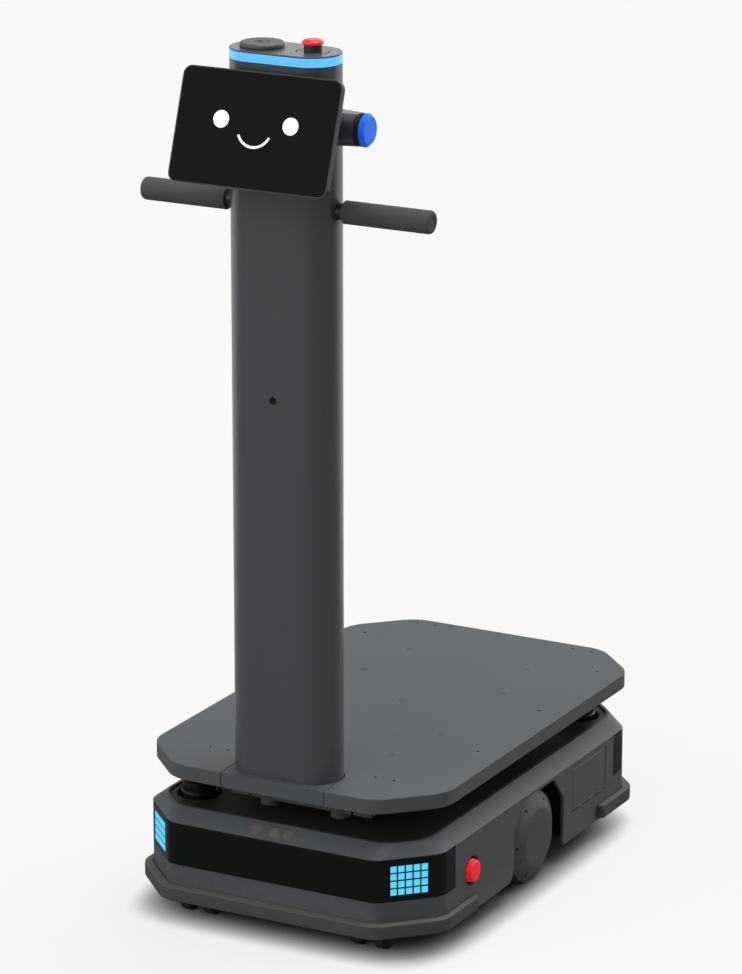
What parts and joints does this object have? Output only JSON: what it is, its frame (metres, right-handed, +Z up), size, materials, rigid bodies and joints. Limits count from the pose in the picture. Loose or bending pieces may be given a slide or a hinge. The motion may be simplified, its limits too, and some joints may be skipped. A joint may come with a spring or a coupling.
{
  "type": "platform transport robot",
  "caption": "Low wheeled transport robot with a flat load deck, a front mast with a leaning touch screen, push bar, stop buttons and light panels",
  "frame": {"origin": "centre of the footprint's bounding box, on the floor under the wheels", "axes": "+Z up, the mast end faces -Y, the width runs along X"},
  "size_m": [0.52, 0.8514, 1.353],
  "materials": {
    "shell": "fine satin moulded plastic",
    "steel_frame": "black powder coat",
    "cover_black": "fine matt grain",
    "panel_black": "smoked gloss",
    "led": "lit light cells",
    "black_plastic": "fine matt grain",
    "grey_plastic": "fine satin moulded plastic",
    "rubber": "matt rubber",
    "deck_paint": "dark grey powder coat",
    "steel": "brushed",
    "red": "moulded red",
    "blue": "moulded blue",
    "light_blue": "lit diffuser",
    "glass_black": "black glass",
    "grip": "matt foam rubber",
    "arm_iron": "painted casting",
    "hub_grey": "turned and painted",
    "tyre": "matt tyre rubber",
    "wheel_cover": "satin moulded plastic",
    "castor_plastic": "moulded nylon"
  },
  "bodies": {
    "chassis": {"chassis_tray": "steel_frame", "body_shell": "shell", "top_cover": "cover_black", "front_light_panel": "panel_black", "rear_light_panel": "panel_black", "led_matrices": "led", "bumper_front": "rubber", "bumper_rear": "rubber", "depth_camera": "black_plastic", "depth_camera_window": "panel_black", "lidar_front": "black_plastic", "lidar_rear": "black_plastic", "battery_pack": "black_plastic", "control_box": "black_plastic", "deck_frame": "steel_frame", "deck_plate": "deck_paint", "deck_bolts": "steel", "mast_base": "deck_paint", "mast_tube": "deck_paint", "mast_camera": "black_plastic", "light_band": "light_blue", "mast_cap": "grey_plastic", "sensor_cover": "grey_plastic", "stop_collar_top": "black_plastic", "side_stop_cups": "black_plastic", "side_arm": "grey_plastic", "call_button_bezel": "black_plastic", "handlebar_tube": "steel", "grip_left": "grip", "grip_right": "grip", "tablet_bracket": "black_plastic", "tablet_housing": "grey_plastic", "tablet_glass": "glass_black", "castor_plates": "steel_frame", "suspension_spring_right": "rubber", "suspension_spring_left": "rubber"},
    "battery_door": {"battery_door": "shell"},
    "call_button": {"call_button": "blue"},
    "stop_stem_top": {"stop_stem_top": "steel"},
    "stop_head_top": {"stop_head_top": "red"},
    "stop_stem_right": {"stop_stem_right": "steel"},
    "stop_head_right": {"stop_head_right": "red"},
    "stop_stem_left": {"stop_stem_left": "steel"},
    "stop_head_left": {"stop_head_left": "red"},
    "suspension_arm_right": {"suspension_arm_right": "arm_iron"},
    "drive_wheel_right": {"drive_hub_right": "hub_grey", "drive_tyre_right": "tyre", "wheel_cover_right": "wheel_cover"},
    "suspension_arm_left": {"suspension_arm_left": "arm_iron"},
    "drive_wheel_left": {"drive_hub_left": "hub_grey", "drive_tyre_left": "tyre", "wheel_cover_left": "wheel_cover"},
    "castor_fork_front_right": {"castor_fork_front_right": "castor_plastic"},
    "castor_wheels_front_right": {"castor_wheels_front_right": "rubber"},
    "castor_fork_front_left": {"castor_fork_front_left": "castor_plastic"},
    "castor_wheels_front_left": {"castor_wheels_front_left": "rubber"},
    "castor_fork_rear_right": {"castor_fork_rear_right": "castor_plastic"},
    "castor_wheels_rear_right": {"castor_wheels_rear_right": "rubber"},
    "castor_fork_rear_left": {"castor_fork_rear_left": "castor_plastic"},
    "castor_wheels_rear_left": {"castor_wheels_rear_left": "rubber"}
  },
  "joints": [
    {"name": "battery_door_hinge", "type": "hinge", "parent": "chassis", "child": "battery_door", "pos_m": [0.247, 0.20667, 0.078], "axis": [0, 1, 0], "range_deg": [0, 90]},
    {"name": "call_button_press", "type": "slide", "parent": "chassis", "child": "call_button", "axis": [-1, 0, 0], "range_m": [0, 0.0035], "stiffness_N_per_m": 1500, "springref_m": -0.002},
    {"name": "stop_press_top", "type": "slide", "parent": "chassis", "child": "stop_stem_top", "axis": [0, 0, -1], "range_m": [0, 0.004]},
    {"name": "stop_twist_top", "type": "hinge", "parent": "stop_stem_top", "child": "stop_head_top", "pos_m": [0.044, -0.30673, 1.335], "axis": [0, 0, 1], "range_deg": [-30, 0], "stiffness_Nm_per_rad": 0.15},
    {"name": "stop_press_right", "type": "slide", "parent": "chassis", "child": "stop_stem_right", "axis": [-1, 0, 0], "range_m": [0, 0.004]},
    {"name": "stop_twist_right", "type": "hinge", "parent": "stop_stem_right", "child": "stop_head_right", "pos_m": [0.235, -0.19693, 0.0975], "axis": [1, 0, 0], "range_deg": [-30, 0], "stiffness_Nm_per_rad": 0.15},
    {"name": "stop_press_left", "type": "slide", "parent": "chassis", "child": "stop_stem_left", "axis": [1, 0, 0], "range_m": [0, 0.004]},
    {"name": "stop_twist_left", "type": "hinge", "parent": "stop_stem_left", "child": "stop_head_left", "pos_m": [-0.235, -0.19693, 0.0975], "axis": [-1, 0, 0], "range_deg": [-30, 0], "stiffness_Nm_per_rad": 0.15},
    {"name": "suspension_swing_right", "type": "hinge", "parent": "chassis", "child": "suspension_arm_right", "pos_m": [0.17, 0.13167, 0.084], "axis": [1, 0, 0], "range_deg": [-1.2, 3], "stiffness_Nm_per_rad": 100, "springref_deg": 10.08, "deforming": ["suspension_spring_right"]},
    {"name": "drive_wheel_spin_right", "type": "hinge", "parent": "suspension_arm_right", "child": "drive_wheel_right", "pos_m": [0.21, 0.02167, 0.076], "axis": [1, 0, 0], "continuous": true},
    {"name": "suspension_swing_left", "type": "hinge", "parent": "chassis", "child": "suspension_arm_left", "pos_m": [-0.17, 0.13167, 0.084], "axis": [1, 0, 0], "range_deg": [-1.2, 3], "stiffness_Nm_per_rad": 100, "springref_deg": 10.08, "deforming": ["suspension_spring_left"]},
    {"name": "drive_wheel_spin_left", "type": "hinge", "parent": "suspension_arm_left", "child": "drive_wheel_left", "pos_m": [-0.21, 0.02167, 0.076], "axis": [1, 0, 0], "continuous": true},
    {"name": "castor_swivel_front_right", "type": "hinge", "parent": "chassis", "child": "castor_fork_front_right", "pos_m": [0.146, -0.29333, 0.06], "axis": [0, 0, 1], "continuous": true},
    {"name": "castor_roll_front_right", "type": "hinge", "parent": "castor_fork_front_right", "child": "castor_wheels_front_right", "pos_m": [0.146, -0.31433, 0.027], "axis": [1, 0, 0], "continuous": true},
    {"name": "castor_swivel_front_left", "type": "hinge", "parent": "chassis", "child": "castor_fork_front_left", "pos_m": [-0.146, -0.29333, 0.06], "axis": [0, 0, 1], "continuous": true},
    {"name": "castor_roll_front_left", "type": "hinge", "parent": "castor_fork_front_left", "child": "castor_wheels_front_left", "pos_m": [-0.146, -0.31433, 0.027], "axis": [1, 0, 0], "continuous": true},
    {"name": "castor_swivel_rear_right", "type": "hinge", "parent": "chassis", "child": "castor_fork_rear_right", "pos_m": [0.146, 0.33667, 0.06], "axis": [0, 0, 1], "continuous": true},
    {"name": "castor_roll_rear_right", "type": "hinge", "parent": "castor_fork_rear_right", "child": "castor_wheels_rear_right", "pos_m": [0.146, 0.31567, 0.027], "axis": [1, 0, 0], "continuous": true},
    {"name": "castor_swivel_rear_left", "type": "hinge", "parent": "chassis", "child": "castor_fork_rear_left", "pos_m": [-0.146, 0.33667, 0.06], "axis": [0, 0, 1], "continuous": true},
    {"name": "castor_roll_rear_left", "type": "hinge", "parent": "castor_fork_rear_left", "child": "castor_wheels_rear_left", "pos_m": [-0.146, 0.31567, 0.027], "axis": [1, 0, 0], "continuous": true}
  ]
}
